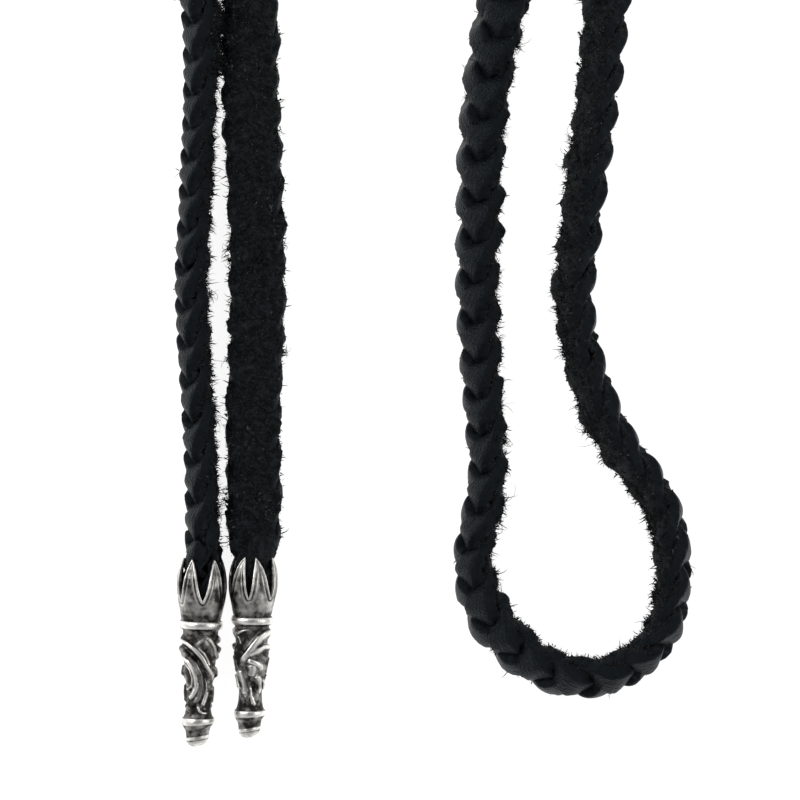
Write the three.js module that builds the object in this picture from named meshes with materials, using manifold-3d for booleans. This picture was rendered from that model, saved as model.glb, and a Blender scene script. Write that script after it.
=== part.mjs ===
// A braided leather lariat necklace, lying on a surface. One flat three-strand braid is laid double: its
// middle makes the end loop, it passes twice round the neck arch, and each free end carries a cast silver
// tip. Millimetres, +Z up. The origin is the middle of the necklace's box, on the surface under it, with
// +Y from the tips towards the neck arch.

import * as THREE from "three";
import { mergeVertices } from "three/addons/utils/BufferGeometryUtils.js";
import Module from "manifold-3d";

// ---- driving dimensions ----

const BRAID_WIDTH = 6.4; // across the flat of the braid
const BRAID_THICKNESS = 4; // through the braid
const BRAID_SIDES = 12;
const BRAID_SQUARENESS = 2.5; // 2 is an ellipse, larger is squarer
const GRIPPED_DIAMETER = 3.5; // the braid pressed round where a tip holds it
const PRESSED_FLAT = 0.2; // how far its own weight flattens the underside
const STEP_MOST = 21; // longest stretch of braid between two sections

const TIP_TILT = 2.2; // degrees that a tip's axis falls towards its knob
const CLAWS = 6;
const CLAW_LENGTH = 5.0; // from a claw's point to the bottom of the notch beside it
const CLAW_RIM = 0.1; // the rims of a claw stand this far over its hollow middle
const CROWN_WIDEST_AT = 3.4; // distances along a tip are from its claw points
const CROWN_RADIUS = 3.05;
const CROWN_END = 7.0;
const SOCKET_DEPTH = 6.2;
const SCROLL_START = 8.9;
const SCROLL_END = 18.7;
const SCROLL_ROWS = 24;
const SCROLL_HEIGHT = 0.6; // of a crest over the ground of the relief
const TIP_SEGMENTS = 32; // round a tip

// Crown wall: outer radius and wall thickness along the tip.
const CROWN = [
  { s: 0.0, radius: 2.3, wall: 0.28 },
  { s: 0.5, radius: 2.5, wall: 0.34 },
  { s: 1.3, radius: 2.78, wall: 0.42 },
  { s: 2.3, radius: 2.98, wall: 0.5 },
  { s: CROWN_WIDEST_AT, radius: CROWN_RADIUS, wall: 0.55 },
  { s: 4.3, radius: 3.0, wall: 0.6 },
  { s: CLAW_LENGTH, radius: 2.88, wall: 0.65 },
  { s: SOCKET_DEPTH, radius: 2.6, wall: 0.7 },
  { s: CROWN_END, radius: 2.44, wall: 0.7 },
];

// How much of its sixth of the crown a claw takes up, from its point to the notch.
const CLAW_SHARE = [
  { s: 0.0, share: 0.07 },
  { s: 0.5, share: 0.25 },
  { s: 1.3, share: 0.42 },
  { s: 2.3, share: 0.56 },
  { s: CROWN_WIDEST_AT, share: 0.68 },
  { s: 4.3, share: 0.82 },
  { s: CLAW_LENGTH, share: 1.0 },
];

// Turned parts of a tip: the core inside the crown, the double ring, the lower ring, the neck and the knob.
const UPPER_TURNING = [
  { s: SOCKET_DEPTH, radius: 2.15 },
  { s: 7.2, radius: 2.2 },
  { s: 7.3, radius: 2.4 },
  { s: 7.42, radius: 2.62 },
  { s: 7.66, radius: 2.68 },
  { s: 7.86, radius: 2.56 },
  { s: 8.06, radius: 2.68 },
  { s: 8.3, radius: 2.62 },
  { s: 8.44, radius: 2.4 },
  { s: 8.56, radius: 2.22 },
];
const LOWER_TURNING = [
  { s: 18.95, radius: 1.72 },
  { s: 19.1, radius: 1.9 },
  { s: 19.4, radius: 1.96 },
  { s: 19.75, radius: 1.96 },
  { s: 20.05, radius: 1.88 },
  { s: 20.2, radius: 1.62 },
  { s: 20.7, radius: 1.48 },
  { s: 21.25, radius: 1.36 },
  { s: 21.4, radius: 1.4 },
  { s: 21.8, radius: 1.36 },
  { s: 22.15, radius: 1.18 },
  { s: 22.42, radius: 0.86 },
  { s: 22.58, radius: 0.45 },
];
const TIP_LENGTH = 22.65;

// Ground of the scrolled relief along the tip.
const SCROLL_GROUND = [
  { s: 8.9, radius: 2.12 },
  { s: 9.8, radius: 2.02 },
  { s: 11.6, radius: 1.92 },
  { s: 13.6, radius: 1.84 },
  { s: 15.6, radius: 1.58 },
  { s: 16.8, radius: 1.42 },
  { s: 18.0, radius: 1.5 },
  { s: 18.7, radius: 1.62 },
];

// Crests of the relief: a turn round the tip in degrees, and the place along it. A crest falls steeply to
// its left over `steep` and gently to its right over `gentle`, looking along it. Each is made twice, on
// opposite sides of the tip.
const CRESTS = [
  {
    name: "long_ribbon",
    steep: 0.4,
    gentle: 1.3,
    height: 1.0,
    path: [[-88, 9.3], [-50, 9.7], [-22, 10.2], [3, 11.2], [26, 12.5], [52, 13.6], [84, 14.4]],
  },
  {
    name: "hook",
    steep: 0.5,
    gentle: 1.0,
    height: 0.85,
    path: [[-84, 11.2], [-47, 12.0], [-22, 12.9], [-10, 14.1], [-15, 15.4], [-38, 16.4], [-68, 16.0]],
  },
  {
    name: "shoulder_leaf",
    steep: 0.35,
    gentle: 0.8,
    height: 0.75,
    path: [[14, 9.1], [38, 9.7], [62, 10.9], [76, 12.2]],
  },
  {
    name: "foot_leaf",
    steep: 0.4,
    gentle: 0.7,
    height: 0.6,
    path: [[26, 14.6], [44, 15.7], [36, 17.2], [8, 18.3]],
  },
];

// The braid's route from the left tip to the right one: over the outer arch, down the outer strand, round
// the end loop, up the inner strand and back over the inner arch. x and y are on the lay-out plane, roll is
// the turn in degrees of the grain side from facing up towards the left of the way along, full is the size
// of the braid against the driving one, tighter or looser plaited, and grip is 1 where a tip holds it.
const ROUTE = [
  // left outer strand
  { x: -23.83, y: -24.72, roll: 80, full: 0.9, grip: 1 },
  { x: -23.64, y: -18.5, roll: 80, full: 0.9, grip: 1 },
  { x: -23.7, y: -16.9, roll: 80, full: 0.92, grip: 0 },
  { x: -23.82, y: -10.8, roll: 80, full: 0.9, grip: 0 },
  { x: -24.14, y: -3.0, roll: 80, full: 0.89, grip: 0 },
  { x: -24.74, y: 6.0, roll: 80, full: 0.9, grip: 0 },
  { x: -25.04, y: 15.0, roll: 80, full: 0.9, grip: 0 },
  { x: -24.62, y: 23.4, roll: 80, full: 0.88, grip: 0 },
  { x: -24.24, y: 32.0, roll: 80, full: 0.87, grip: 0 },
  { x: -23.92, y: 40.0, roll: 81, full: 0.95, grip: 0 },
  { x: -24.2, y: 48.0, roll: 81, full: 1.0, grip: 0 },
  // outer arch
  { x: -27.4, y: 62.0, roll: 82, full: 1.0, grip: 0 },
  { x: -35.5, y: 78.5, roll: 83, full: 1.0, grip: 0 },
  { x: -46.0, y: 94.0, roll: 84, full: 1.0, grip: 0 },
  { x: -57.4, y: 110.9, roll: 85, full: 1.0, grip: 0 },
  { x: -69.6, y: 145.5, roll: 86, full: 1.0, grip: 0 },
  { x: -62.0, y: 181.5, roll: 88, full: 1.0, grip: 0 },
  { x: -36.9, y: 208.3, roll: 90, full: 1.0, grip: 0 },
  { x: -1.5, y: 218.2, roll: 92, full: 1.0, grip: 0 },
  { x: 33.9, y: 208.3, roll: 94, full: 1.0, grip: 0 },
  { x: 59.0, y: 181.5, roll: 97, full: 1.0, grip: 0 },
  { x: 66.6, y: 145.5, roll: 101, full: 1.0, grip: 0 },
  { x: 54.4, y: 110.9, roll: 106, full: 1.0, grip: 0 },
  { x: 44.0, y: 95.5, roll: 110, full: 1.0, grip: 0 },
  { x: 35.3, y: 80.0, roll: 114, full: 1.0, grip: 0 },
  { x: 28.8, y: 64.0, roll: 117, full: 1.02, grip: 0 },
  // right outer strand
  { x: 25.1, y: 48.0, roll: 119, full: 1.04, grip: 0 },
  { x: 24.3, y: 40.8, roll: 119, full: 1.05, grip: 0 },
  { x: 23.46, y: 33.6, roll: 116, full: 1.03, grip: 0 },
  { x: 22.4, y: 26.0, roll: 114, full: 1.05, grip: 0 },
  { x: 21.6, y: 18.6, roll: 114, full: 1.0, grip: 0 },
  { x: 20.95, y: 13.2, roll: 114, full: 1.0, grip: 0 },
  { x: 21.45, y: 8.0, roll: 109, full: 1.0, grip: 0 },
  { x: 22.58, y: 3.4, roll: 108, full: 1.01, grip: 0 },
  { x: 24.15, y: -1.2, roll: 110, full: 1.05, grip: 0 },
  { x: 26.38, y: -5.4, roll: 110, full: 1.02, grip: 0 },
  { x: 29.34, y: -9.3, roll: 109, full: 1.0, grip: 0 },
  { x: 31.7, y: -13.5, roll: 104, full: 0.98, grip: 0 },
  { x: 32.75, y: -18.4, roll: 100, full: 0.97, grip: 0 },
  // end loop
  { x: 32.63, y: -22.9, roll: 95, full: 0.97, grip: 0 },
  { x: 31.65, y: -27.4, roll: 89, full: 1.0, grip: 0 },
  { x: 29.0, y: -30.8, roll: 81, full: 1.0, grip: 0 },
  { x: 25.36, y: -32.8, roll: 73, full: 1.04, grip: 0 },
  { x: 21.5, y: -33.4, roll: 66, full: 1.04, grip: 0 },
  { x: 17.5, y: -32.35, roll: 62, full: 1.03, grip: 0 },
  { x: 13.87, y: -29.85, roll: 56, full: 1.05, grip: 0 },
  { x: 10.8, y: -26.45, roll: 55, full: 1.04, grip: 0 },
  { x: 9.1, y: -22.35, roll: 63, full: 1.0, grip: 0 },
  { x: 8.7, y: -18.2, roll: 70, full: 0.94, grip: 0 },
  // right inner strand
  { x: 9.6, y: -14.0, roll: 70, full: 0.98, grip: 0 },
  { x: 10.36, y: -8.6, roll: 73, full: 0.96, grip: 0 },
  { x: 10.02, y: -2.4, roll: 70, full: 0.98, grip: 0 },
  { x: 9.5, y: 4.8, roll: 65, full: 0.97, grip: 0 },
  { x: 9.15, y: 13.0, roll: 61, full: 0.98, grip: 0 },
  { x: 9.3, y: 21.6, roll: 57, full: 0.98, grip: 0 },
  { x: 9.58, y: 30.0, roll: 54, full: 1.0, grip: 0 },
  { x: 10.54, y: 39.0, roll: 49, full: 1.02, grip: 0 },
  { x: 12.28, y: 48.0, roll: 42, full: 1.05, grip: 0 },
  // inner arch
  { x: 17.0, y: 64.0, roll: 50, full: 1.02, grip: 0 },
  { x: 25.5, y: 81.0, roll: 58, full: 1.0, grip: 0 },
  { x: 36.8, y: 98.0, roll: 67, full: 1.0, grip: 0 },
  { x: 49.1, y: 114.6, roll: 77, full: 1.0, grip: 0 },
  { x: 60.2, y: 146.0, roll: 84, full: 1.0, grip: 0 },
  { x: 53.3, y: 178.5, roll: 88, full: 1.0, grip: 0 },
  { x: 30.6, y: 202.8, roll: 90, full: 1.0, grip: 0 },
  { x: -1.5, y: 211.8, roll: 92, full: 1.0, grip: 0 },
  { x: -33.6, y: 202.8, roll: 96, full: 1.0, grip: 0 },
  { x: -56.3, y: 178.5, roll: 102, full: 1.0, grip: 0 },
  { x: -63.2, y: 146.0, roll: 112, full: 1.0, grip: 0 },
  { x: -52.1, y: 114.6, roll: 130, full: 1.0, grip: 0 },
  { x: -40.7, y: 97.6, roll: 145, full: 1.0, grip: 0 },
  { x: -29.8, y: 81.5, roll: 160, full: 1.0, grip: 0 },
  { x: -21.6, y: 64.5, roll: 172, full: 1.02, grip: 0 },
  // left inner strand
  { x: -18.0, y: 48.0, roll: 178, full: 1.04, grip: 0 },
  { x: -17.95, y: 40.0, roll: 180, full: 1.04, grip: 0 },
  { x: -17.8, y: 32.0, roll: 180, full: 1.05, grip: 0 },
  { x: -17.35, y: 24.0, roll: 180, full: 1.05, grip: 0 },
  { x: -17.15, y: 15.0, roll: 180, full: 1.04, grip: 0 },
  { x: -17.25, y: 6.5, roll: 180, full: 1.04, grip: 0 },
  { x: -17.58, y: -1.5, roll: 180, full: 1.04, grip: 0 },
  { x: -17.6, y: -9.0, roll: 180, full: 1.03, grip: 0 },
  { x: -17.58, y: -16.7, roll: 180, full: 1.02, grip: 0 },
  { x: -17.56, y: -18.25, roll: 180, full: 1.0, grip: 1 },
  { x: -17.71, y: -24.3, roll: 180, full: 1.0, grip: 1 },
];

// The tips: the middle of the claw points on the lay-out plane, the way that the axis drifts sideways per
// millimetre along it, the turn round the axis in degrees, the hand of the scrolls, and the size against
// the larger tip's.
const TIPS = [
  { name: "end_tip_left", x: -23.65, y: -19.0, drift: -0.031, turn: 0, hand: 1, size: 1 },
  { name: "end_tip_right", x: -17.56, y: -18.75, drift: -0.025, turn: -8, hand: -1, size: 0.965 },
];

const LEATHER = { color: 0x17191b, roughness: 0.75, metalness: 0.0 };
const SILVER = { color: 0x8b8984, roughness: 0.3, metalness: 1.0 };

// ---- helpers ----

const wasm = await Module();
wasm.setup();

const radians = THREE.MathUtils.degToRad;

// A closed geometry as a solid.
function solidOf(geometry) {
  const bare = geometry.index ? geometry.toNonIndexed() : geometry.clone();
  bare.deleteAttribute("normal");
  bare.deleteAttribute("uv");
  const merged = mergeVertices(bare, 1e-4);
  const vertProperties = merged.attributes.position.array;
  const triVerts = new Uint32Array(merged.index.array);
  return new wasm.Manifold(new wasm.Mesh({ numProp: 3, vertProperties, triVerts }));
}

// A solid as a geometry to draw.
function geometryOf(solid) {
  const { vertProperties, triVerts } = solid.getMesh();
  const geometry = new THREE.BufferGeometry();
  geometry.setAttribute("position", new THREE.BufferAttribute(vertProperties, 3));
  geometry.setIndex(new THREE.BufferAttribute(triVerts, 1));
  return geometry;
}

// The value of a table's column at s, straight between its rows.
function lookUp(table, column, s) {
  const next = table.findIndex((row) => row.s >= s);
  if (next === 0) return table[0][column];
  if (next < 0) return table.at(-1)[column];
  const low = table[next - 1];
  const high = table[next];
  return THREE.MathUtils.mapLinear(s, low.s, high.s, low[column], high[column]);
}

// Moves every vertex of a geometry by a function of its place.
function warp(geometry, place) {
  const position = geometry.attributes.position;
  const point = new THREE.Vector3();
  for (let i = 0; i < position.count; i++) {
    point.fromBufferAttribute(position, i);
    position.setXYZ(i, ...place(point));
  }
  return geometry;
}

// ---- braided cord ----

// The braid's section, 1 either way, with flats above, below and on both sides.
function unitSection() {
  const points = [];
  for (let i = 0; i < BRAID_SIDES; i++) {
    const angle = ((i + 0.5) * 2 * Math.PI) / BRAID_SIDES;
    const round = (part) => Math.sign(part) * Math.abs(part) ** (2 / BRAID_SQUARENESS);
    points.push(new THREE.Vector2(round(Math.cos(angle)), round(Math.sin(angle))));
  }
  return points;
}

const SECTION = unitSection();

// How far the section reaches below its middle when the grain side is rolled over.
function depthBelow(roll, halfWidth, halfThickness) {
  const drops = SECTION.map(
    (point) => point.x * halfWidth * Math.sin(roll) - point.y * halfThickness * Math.cos(roll),
  );
  return Math.max(...drops);
}

// Height of a tip's axis at a place along it: the crown rests on the surface and the knob hangs lower.
function axisHeight(tip, s) {
  return tip.size * CROWN_RADIUS + (tip.size * CROWN_WIDEST_AT - s) * Math.sin(radians(TIP_TILT));
}

// One section of the braid between two rows of the route.
function stationAt(curve, row, share) {
  const from = ROUTE[row];
  const to = ROUTE[Math.min(row + 1, ROUTE.length - 1)];
  const { x, y } = curve.getPoint((row + share) / (ROUTE.length - 1));
  const roll = radians(THREE.MathUtils.lerp(from.roll, to.roll, share));
  const full = THREE.MathUtils.lerp(from.full, to.full, share);
  const grip = THREE.MathUtils.lerp(from.grip, to.grip, share);
  const halfWidth = THREE.MathUtils.lerp(full * BRAID_WIDTH, GRIPPED_DIAMETER, grip) / 2;
  const halfThickness = THREE.MathUtils.lerp(full * BRAID_THICKNESS, GRIPPED_DIAMETER, grip) / 2;
  const resting = depthBelow(roll, halfWidth, halfThickness) - PRESSED_FLAT;
  const tip = row < ROUTE.length / 2 ? TIPS[0] : TIPS[1];
  const z = THREE.MathUtils.lerp(resting, axisHeight(tip, tip.y - y), grip);
  return { place: new THREE.Vector3(x, y, z), roll, halfWidth, halfThickness };
}

function stationsOf() {
  const points = ROUTE.map((row) => new THREE.Vector3(row.x, row.y, 0));
  const curve = new THREE.CatmullRomCurve3(points);
  const stations = [];
  for (let row = 0; row < ROUTE.length - 1; row++) {
    const steps = Math.ceil(points[row].distanceTo(points[row + 1]) / STEP_MOST);
    for (let step = 0; step < steps; step++) stations.push(stationAt(curve, row, step / steps));
  }
  stations.push(stationAt(curve, ROUTE.length - 1, 0));
  return stations;
}

// The route as a curve whose frames carry the braid's half sizes and roll.
class BraidRoute extends THREE.Curve {
  constructor(stations) {
    super();
    this.stations = stations;
  }

  getSpacedPoints() {
    return this.stations.map((station) => station.place);
  }

  computeFrenetFrames() {
    const places = this.getSpacedPoints();
    const frames = { tangents: [], normals: [], binormals: [] };
    this.stations.forEach((station, i) => {
      const before = places[Math.max(i - 1, 0)];
      const after = places[Math.min(i + 1, places.length - 1)];
      const along = after.clone().sub(before).normalize();
      const left = new THREE.Vector3(-along.y, along.x, 0).normalize();
      const up = along.clone().cross(left);
      const grain = up.multiplyScalar(Math.cos(station.roll));
      grain.addScaledVector(left, Math.sin(station.roll));
      const across = grain.clone().cross(along);
      frames.tangents.push(along);
      frames.normals.push(across.multiplyScalar(station.halfWidth));
      frames.binormals.push(grain.multiplyScalar(station.halfThickness));
    });
    return frames;
  }
}

function braidedCord() {
  const stations = stationsOf();
  const extrudePath = new BraidRoute(stations);
  const options = { steps: stations.length - 1, extrudePath };
  const tube = new THREE.ExtrudeGeometry(new THREE.Shape(SECTION), options);
  // Leather flattens where it rests, so the surface at z = 0 cuts the underside.
  const above = new THREE.BoxGeometry(400, 600, 40).translate(0, 80, 20);
  return solidOf(tube).intersect(solidOf(above));
}

// ---- silver end tips ----

// One claw with its share of the crown wall: a block bent round the axis and narrowed to a point.
function clawOf(index, tipTurn) {
  const stops = CROWN.map((row) => row.s);
  const bands = stops.length - 1;
  const columns = 4;
  const block = new THREE.BoxGeometry(2, 1, bands, columns, 1, bands);
  const half = Math.PI / CLAWS;
  return warp(block, (point) => {
    const s = stops[Math.round(point.z + bands / 2)];
    const share = s < CLAW_LENGTH ? lookUp(CLAW_SHARE, "share", s) : 1.01;
    const hollow = CLAW_RIM * Math.max(0, 1 - (1.6 * point.x) ** 2) * (s < SOCKET_DEPTH ? 1 : 0);
    const outer = lookUp(CROWN, "radius", s) - hollow;
    const radius = point.y > 0 ? outer : outer + hollow - lookUp(CROWN, "wall", s);
    const angle = tipTurn + (2 * index + 1) * half + point.x * half * share;
    return [radius * Math.sin(angle), radius * Math.cos(angle), s];
  });
}

// How far a spot on the unrolled body is from one crest, and on which side of it.
function crestHeight(crest, turn, s, ground) {
  let best = 0;
  for (let i = 0; i < crest.path.length - 1; i++) {
    const [a0, s0] = crest.path[i];
    const [a1, s1] = crest.path[i + 1];
    const u = radians(THREE.MathUtils.euclideanModulo(turn - a0 + 180, 360) - 180) * ground;
    const v = s - s0;
    const du = radians(a1 - a0) * ground;
    const dv = s1 - s0;
    const share = THREE.MathUtils.clamp((u * du + v * dv) / (du * du + dv * dv), 0, 1);
    const away = Math.hypot(u - share * du, v - share * dv);
    const reach = u * dv - v * du > 0 ? crest.steep : crest.gentle;
    best = Math.max(best, 1 - away / reach);
  }
  return crest.height * SCROLL_HEIGHT * Math.max(0, best) ** 0.8;
}

// Radius of the scrolled body at a turn round the axis and a place along it.
function scrollRadius(turn, s, hand) {
  const ground = lookUp(SCROLL_GROUND, "radius", s);
  const heights = [0, 180].flatMap((side) =>
    CRESTS.map((crest) => crestHeight(crest, hand * turn + side, s, ground)),
  );
  return ground + Math.max(...heights);
}

// Everything below the crown: a cylinder whose rings and scrolls are worked out ring by ring.
function shaftOf(hand) {
  const scrollStops = Array.from({ length: SCROLL_ROWS }, (_, i) =>
    THREE.MathUtils.lerp(SCROLL_START, SCROLL_END, i / (SCROLL_ROWS - 1)),
  );
  const rings = [
    ...UPPER_TURNING,
    ...scrollStops.map((s) => ({ s, radius: null })),
    ...LOWER_TURNING,
    { s: TIP_LENGTH, radius: 0.2 },
  ];
  const bands = rings.length - 1;
  const cylinder = new THREE.CylinderGeometry(1, 1, bands, TIP_SEGMENTS, bands).rotateX(Math.PI / 2);
  return warp(cylinder, (point) => {
    const ring = rings[Math.round(point.z + bands / 2)];
    const reach = Math.hypot(point.x, point.y);
    const turn = THREE.MathUtils.radToDeg(Math.atan2(point.x, point.y));
    const radius = ring.radius ?? scrollRadius(turn, ring.s, hand);
    const share = reach > 0.5 ? radius / reach : 0;
    return [point.x * share, point.y * share, ring.s];
  });
}

function endTip(tip) {
  let solid = solidOf(shaftOf(tip.hand));
  for (let claw = 0; claw < CLAWS; claw++) solid = solid.add(solidOf(clawOf(claw, radians(tip.turn))));
  return solid.scale(tip.size);
}

// A tip's own frame on the lay-out plane: its z runs along the axis and its y faces up.
function placeTip(mesh, tip) {
  const fall = -Math.sin(radians(TIP_TILT));
  const axis = new THREE.Vector3(tip.drift, -1, 0).normalize();
  axis.multiplyScalar(Math.cos(radians(TIP_TILT))).setZ(fall);
  const side = new THREE.Vector3(-axis.y, axis.x, 0).normalize();
  const top = axis.clone().cross(side);
  mesh.quaternion.setFromRotationMatrix(new THREE.Matrix4().makeBasis(side, top, axis));
  mesh.position.set(tip.x, tip.y, axisHeight(tip, 0));
}

// ---- assembly ----

function meshOf(name, solid, look) {
  const mesh = new THREE.Mesh(geometryOf(solid), new THREE.MeshStandardMaterial(look));
  mesh.name = name;
  return mesh;
}

const necklace = new THREE.Group();
necklace.add(meshOf("braided_cord", braidedCord(), LEATHER));
for (const tip of TIPS) {
  const mesh = meshOf(tip.name, endTip(tip), SILVER);
  placeTip(mesh, tip);
  necklace.add(mesh);
}

// The lay-out plane's middle moves to the middle of the necklace.
const box = new THREE.Box3().setFromObject(necklace, true);
const middle = box.getCenter(new THREE.Vector3());
necklace.position.set(-middle.x, -middle.y, 0);

export default necklace;
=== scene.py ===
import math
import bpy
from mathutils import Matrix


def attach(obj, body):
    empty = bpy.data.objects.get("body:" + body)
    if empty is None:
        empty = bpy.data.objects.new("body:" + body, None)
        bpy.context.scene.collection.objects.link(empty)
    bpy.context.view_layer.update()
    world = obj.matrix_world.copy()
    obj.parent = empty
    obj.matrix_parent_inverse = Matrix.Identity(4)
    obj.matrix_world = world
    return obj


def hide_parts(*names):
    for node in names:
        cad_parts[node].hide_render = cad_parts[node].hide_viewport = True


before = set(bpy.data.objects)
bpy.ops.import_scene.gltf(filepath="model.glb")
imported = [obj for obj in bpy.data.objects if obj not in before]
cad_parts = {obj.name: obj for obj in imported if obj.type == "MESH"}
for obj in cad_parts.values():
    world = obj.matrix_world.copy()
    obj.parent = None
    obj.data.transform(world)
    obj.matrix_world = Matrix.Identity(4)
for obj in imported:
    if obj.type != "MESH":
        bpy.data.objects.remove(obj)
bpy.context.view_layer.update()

# A braided leather lariat necklace lying on a pale surface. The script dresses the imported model: three
# leather laces plaited along the cord's route, the nap and stray fibres of their suede sides, and the two
# cast silver end tips. Metres, +Z up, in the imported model's frame.

from types import SimpleNamespace

import bmesh
import bpy
import numpy as np
from mathutils import Vector

MM = 0.001

# The lay-out plane's origin is the middle of the hanging strands, and this is where the middle of the
# necklace's box falls on it.
LAYOUT_MIDDLE = (-1.4501 * MM, 89.2749 * MM)

# ---- the braid ----

BRAID_WIDTH = 6.4 * MM  # across the flat of the braid
BRAID_THICKNESS = 4.0 * MM
BRAID_SIDES = 12  # of the section that settles how high the braid lies
BRAID_SQUARENESS = 2.5
GRIPPED_DIAMETER = 3.5 * MM  # the braid pressed round where a tip holds it
PRESSED_FLAT = 0.2 * MM  # how far its own weight flattens the underside
SKIN_OVER_FLOOR = 0.02 * MM
CURVE_STEPS = 120  # to each span of the route

LACES = 3
PLAIT_LENGTH = 14.4 * MM  # one full turn of a lace through the plait
LACE_WIDTH = 3.35 * MM
LACE_THICKNESS = 1.9 * MM
LACE_LEAN = math.radians(9)  # a lace's outer shoulder dips by this much where it dives under
EDGE_LEAN = math.radians(10)  # and its grain side turns outwards by this much at the braid's edges
EVENED_LEAN = 1.3  # brings the steepest of sin(2 turn) sin(turn) up to 1
SWING = 1.55 * MM  # of a lace's middle from side to side
WEAVE = 1.1 * MM  # of a lace's middle up and down
SHOWN_STEP = 0.13 * MM  # between the rings of a lace on the hanging strands and the end loop
ARCH_STEP = 0.5 * MM  # and on the neck arch
ARCH_START = 50.0 * MM  # on the lay-out plane
WIDTH_WANDER = 0.05  # how unevenly wide a lace was cut
GRAIN_LUMPS = 0.02 * MM
FLESH_LUMPS = 0.13 * MM
LUMPS_BY_LEATHER = (0.0, 0.45, 1.0)  # how much of those the grain, the cut edge and the flesh side have
MATTING = 0.75  # share of the flesh side's hollows that its matted nap fills
MATTED_OUT_TO = 0.97  # of the braid's outer form
MATTED_FROM = (0.35, 0.6)
MATTED_FLESH = (0.6, 0.1)  # how high through the braid the matting ends on flesh sides and on cut edges
MATTED_EDGES = (0.1, -0.3)

# Where a tip grips the plait, it is pressed from a flat form to a round one, and it swells again a little
# inside the crown.
GRIPPED_SWING = -0.42
GRIPPED_WEAVE = 0.2
GRIPPED_LACE_WIDTH = -0.3
GRIPPED_LACE_THICKNESS = 0.1
SWOLLEN_SWING = 0.16
SWOLLEN_GRIP = -0.4
SWELLS_FROM, SWELLS_TO = -0.2 * MM, 1.4 * MM  # from the claw points
CROWN_CLEARANCE = 0.04 * MM

# Half of a lace's section, from the middle of its grain side round to its flesh side.
LACE_SECTION = [
    # across, out, 1 at the most, and the leather that starts there: 0 grain, 1 cut edge, 2 flesh
    (0.26, 1.0, 0),
    (0.66, 0.95, 0),
    (0.92, 0.83, 1),
    (0.99, 0.58, 1),
    (1.0, 0.1, 1),
    (0.99, -0.45, 2),
    (0.88, -0.88, 2),
    (0.34, -1.0, 2),
]
LACE_COLUMNS = 2 * len(LACE_SECTION)

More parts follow.
